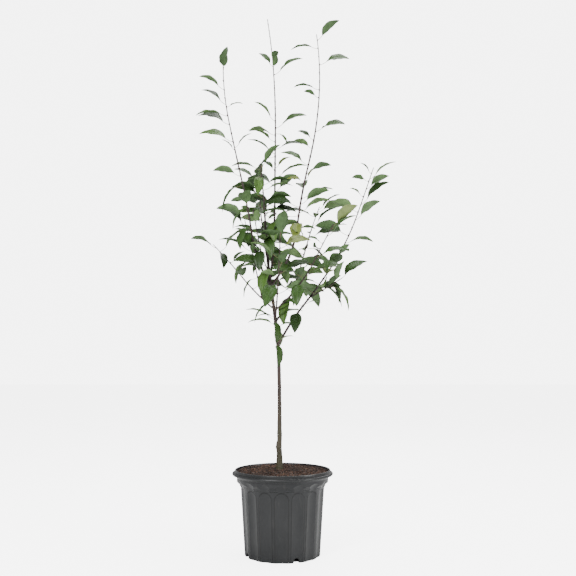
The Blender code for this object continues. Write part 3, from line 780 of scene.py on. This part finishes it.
# The outline swells as a sine: a lower skew moves its widest place towards the base, and a lower
# fullness makes its ends wider.
OUTLINE_SKEW = 0.82
OUTLINE_FULLNESS = 0.85
LAST_SHARE = 0.9999  # keeps the sine above 0 at the tip
LEAST_WIDTH = 0.012
FOLD = radians(17)
HOLLOW = 0.10
TOOTH = 0.006
TOOTH_FADE = 4
RIPPLE = 0.012
RIPPLE_TURN = 17
ROLL_GAIN = 3  # the blade has its whole roll at a third of its length
BLADE_HEADING = 0.04
STALK_RADIUS = 0.00075
STALK_EVEN = 0.6  # the share of a stalk's radius that doesn't follow its leaf's size
STALK_TAPER = (1.3, 1, 1, 1, 1, 0.8)
STALK_SAG = 0.06
STALK_OVERLAP = 0.3
STALK_SIDES = 6
PITCHES = {"^": 40, "-": 14, "v": -55}
SIDE_JITTER = 26
PITCH_JITTER = 12
ROLL_JITTER = 50
SIZE_JITTER = 0.18
# Greens of the upper and under sides, and how often each is dealt out
GREENS = (
    ("deep", (0.016, 0.040, 0.007), (0.055, 0.105, 0.036), 7),
    ("mid", (0.028, 0.068, 0.011), (0.080, 0.145, 0.052), 8),
    ("fresh", (0.052, 0.110, 0.018), (0.105, 0.180, 0.062), 5),
    ("yellow", (0.130, 0.170, 0.030), (0.165, 0.215, 0.070), 1),
)
CLOUD_SHADES = (0.72, 1.25)
VEIN_SHADE = 1.9
UNDER_VEIN_SHADE = 1.3
VEIN_SHARE = 0.5
SIDE_VEINS = 9.0
VEIN_SWEEP = 4.2
STALK_COLOURS = ((0.085, 0.120, 0.040), (0.150, 0.070, 0.040))


def leaf_path(root, azimuth, pitch, size):
    """The stalk's root, then the midrib from the blade's base to its tip."""
    blade = LEAF_LENGTH * size
    stalk = heading(90 - (pitch + PETIOLE_PITCH) / 2, azimuth)
    points = [root, root + stalk * (blade * PETIOLE_LENGTH)]
    for step in range(BLADE_STEPS):
        down = BLADE_ARCH * ((step + 0.5) / BLADE_STEPS - ARCH_LEVEL)
        points.append(points[-1] + heading(90 - pitch + down, azimuth) * (blade / BLADE_STEPS))
    return points


def add_blade(blades, path, azimuth, roll, blade, skin, wave):
    """Adds one toothed blade along its midrib, with its places across and along for the veins."""
    points, faces, places, skins = blades
    level = Vector((-sin(radians(azimuth)), cos(radians(azimuth)), 0))
    first = len(points)
    for station in range(BLADE_STATIONS):
        share = station / (BLADE_STATIONS - 1)
        middle = between(path, share)
        ahead = between(path, min(1, share + BLADE_HEADING))
        along = (ahead - between(path, max(0, share - BLADE_HEADING))).normalized()
        side = Matrix.Rotation(radians(roll * min(1, ROLL_GAIN * share)), 3, along) @ level
        up = along.cross(side)
        swell = sin(pi * min(LAST_SHARE, share) ** OUTLINE_SKEW) ** OUTLINE_FULLNESS
        full = max(LEAST_WIDTH, swell)
        half = blade * LEAF_HALF_WIDTH * full
        tooth = blade * TOOTH * (station % 2) * min(1, TOOTH_FADE * full)
        ripple = blade * RIPPLE * sin(share * RIPPLE_TURN + wave) * full
        for across in BLADE_COLUMNS:
            edge = int(across)
            reach = across * half + edge * tooth
            rise = abs(across) * half * sin(FOLD) - half * HOLLOW * (1 - abs(across)) * abs(across)
            rise += ripple * abs(across) * across
            points.append(middle + side * (reach * cos(FOLD)) + up * rise)
            places.append((0.5 + across / 2, share))
    columns = len(BLADE_COLUMNS)
    for station in range(BLADE_STATIONS - 1):
        for column in range(columns - 1):
            low = first + station * columns + column
            faces.append([low, low + columns, low + columns + 1, low + 1])
            skins.append(skin)


def add_stalk(points, faces, root, base, after_base, size):
    """Adds the stalk, sagging a little, from the shoot into the foot of the midrib."""
    end = base + (after_base - base) * STALK_OVERLAP
    sag = (base - root).length * STALK_SAG
    line = []
    for step in range(len(STALK_TAPER)):
        share = step / (len(STALK_TAPER) - 1)
        line.append(root.lerp(end, share) + Vector((0, 0, -sag * sin(pi * share))))
    radius = STALK_RADIUS * (STALK_EVEN + (1 - STALK_EVEN) * size)
    add_tube(points, faces, line, [radius * share for share in STALK_TAPER], STALK_SIDES)


def vein_group():
    """A mask over a leaf from its places across and along: the midrib and its swept side veins."""
    group, inside, outside = new_group("leaf veins", [("Place", "NodeSocketVector")], ["Veins"])
    place = node(group, "ShaderNodeSeparateXYZ", {"Vector": inside.outputs["Place"]}).outputs
    across = maths(group, "ABSOLUTE", maths(group, "SUBTRACT", place["X"], 0.5))
    midrib = spread(group, across, (0.015, 0.05), (1.0, 0.0))
    along = maths(group, "MULTIPLY", place["Y"], SIDE_VEINS)
    swept = maths(group, "SUBTRACT", along, maths(group, "MULTIPLY", across, VEIN_SWEEP))
    side_veins = spread(group, maths(group, "PINGPONG", swept, 0.5), (0.02, 0.11), (0.7, 0.0))
    group.links.new(maths(group, "MAXIMUM", midrib, side_veins), outside.inputs["Veins"])
    return group


leaf_veins = vein_group()


def leaf_material(name, colour, vein_shade, roughness, depth):
    """Leaf skin: cloudy green, paler veins, and the blade quilted between them."""
    made, tree, shader = new_material(name, roughness)
    place = node(tree, "ShaderNodeUVMap", uv_map="leaf place").outputs["UV"]
    veins = node(tree, "ShaderNodeGroup", {"Place": place}, node_tree=leaf_veins).outputs["Veins"]
    darker, lighter = [tuple(shade * part for part in colour) for shade in CLOUD_SHADES]
    skin = ramp(tree, cloudy(tree, 55.0, 5.0), [(0.32, darker), (0.68, lighter)])
    vein_colour = (*[vein_shade * part for part in colour], 1)
    veined = mixed(tree, maths(tree, "MULTIPLY", veins, VEIN_SHARE), skin, vein_colour)
    tree.links.new(veined, shader.inputs["Base Color"])
    shader.inputs["Specular IOR Level"].default_value = 0.3
    tree.links.new(bumped(tree, veins, depth, -0.0006), shader.inputs["Normal"])
    return made


leaf_skins = []
for name, upper, under, _ in GREENS:
    leaf_skins.append(leaf_material(f"{name} leaf", upper, VEIN_SHADE, 0.42, 0.5))
    leaf_skins.append(leaf_material(f"{name} leaf underside", under, UNDER_VEIN_SHADE, 0.62, -0.5))

stalk_points = []
stalk_faces = []
weights = [often for *_, often in GREENS]
for shoot in SHOOTS:
    points, faces, places, skins = blades = ([], [], [], [])
    leafy_line = stretch(lines[shoot.name], shoot.leafy, 1, LIMB_RINGS)
    words = shoot.nodes.split()
    tint = random.Random(1000 + shoot.seed)
    for number, word in enumerate(words):
        rng = random.Random(100 * shoot.seed + number)
        for leaf in range(len(word) // 2):
            side, pitch = word[2 * leaf : 2 * leaf + 2]
            size = 1 if side.isupper() else SMALL_LEAF
            azimuth = SIDES[side.lower()] + rng.uniform(-SIDE_JITTER, SIDE_JITTER)
            lift = PITCHES[pitch] + rng.uniform(-PITCH_JITTER, PITCH_JITTER)
            roll = rng.uniform(-ROLL_JITTER, ROLL_JITTER)
            size *= 1 + rng.uniform(-SIZE_JITTER, SIZE_JITTER)
            root = between(leafy_line, (number + NODE_START + NODE_STEP * leaf) / len(words))
            green = tint.choices(range(len(GREENS)), weights)[0]
            wave = tint.uniform(0, tau)
            path = leaf_path(root, azimuth, lift, size)
            add_blade(blades, path[1:], azimuth, roll, LEAF_LENGTH * size, 2 * green, wave)
            add_stalk(stalk_points, stalk_faces, *path[:3], size)
    foliage = object_of(f"foliage_{shoot.name}", points, faces)
    mesh = foliage.data
    layer = mesh.uv_layers.new(name="leaf place")
    for loop in mesh.loops:
        layer.data[loop.index].uv = places[loop.vertex_index]
    for skin in leaf_skins:
        mesh.materials.append(skin)
    for face, skin in zip(mesh.polygons, skins):
        face.material_index = skin
    mesh.shade_smooth()
    # The underside's material follows the upper side's, so the shell's inner face takes the next one.
    shell = foliage.modifiers.new("thickness", "SOLIDIFY")
    shell.thickness = LEAF_THICKNESS
    shell.offset = -1
    shell.material_offset = 1
    apply_all(foliage)
    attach(foliage, "root")
    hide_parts(f"leaves_{shoot.name}")

stalks = object_of("leaf_stalks", stalk_points, stalk_faces)
stalks.data.shade_smooth()
stalk_skin, tree, shader = new_material("leaf stalk", 0.5)
blush = ramp(tree, cloudy(tree, 80.0, 3.0), [(0.35, STALK_COLOURS[0]), (0.65, STALK_COLOURS[1])])
tree.links.new(blush, shader.inputs["Base Color"])
stalks.data.materials.append(stalk_skin)
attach(stalks, "root")
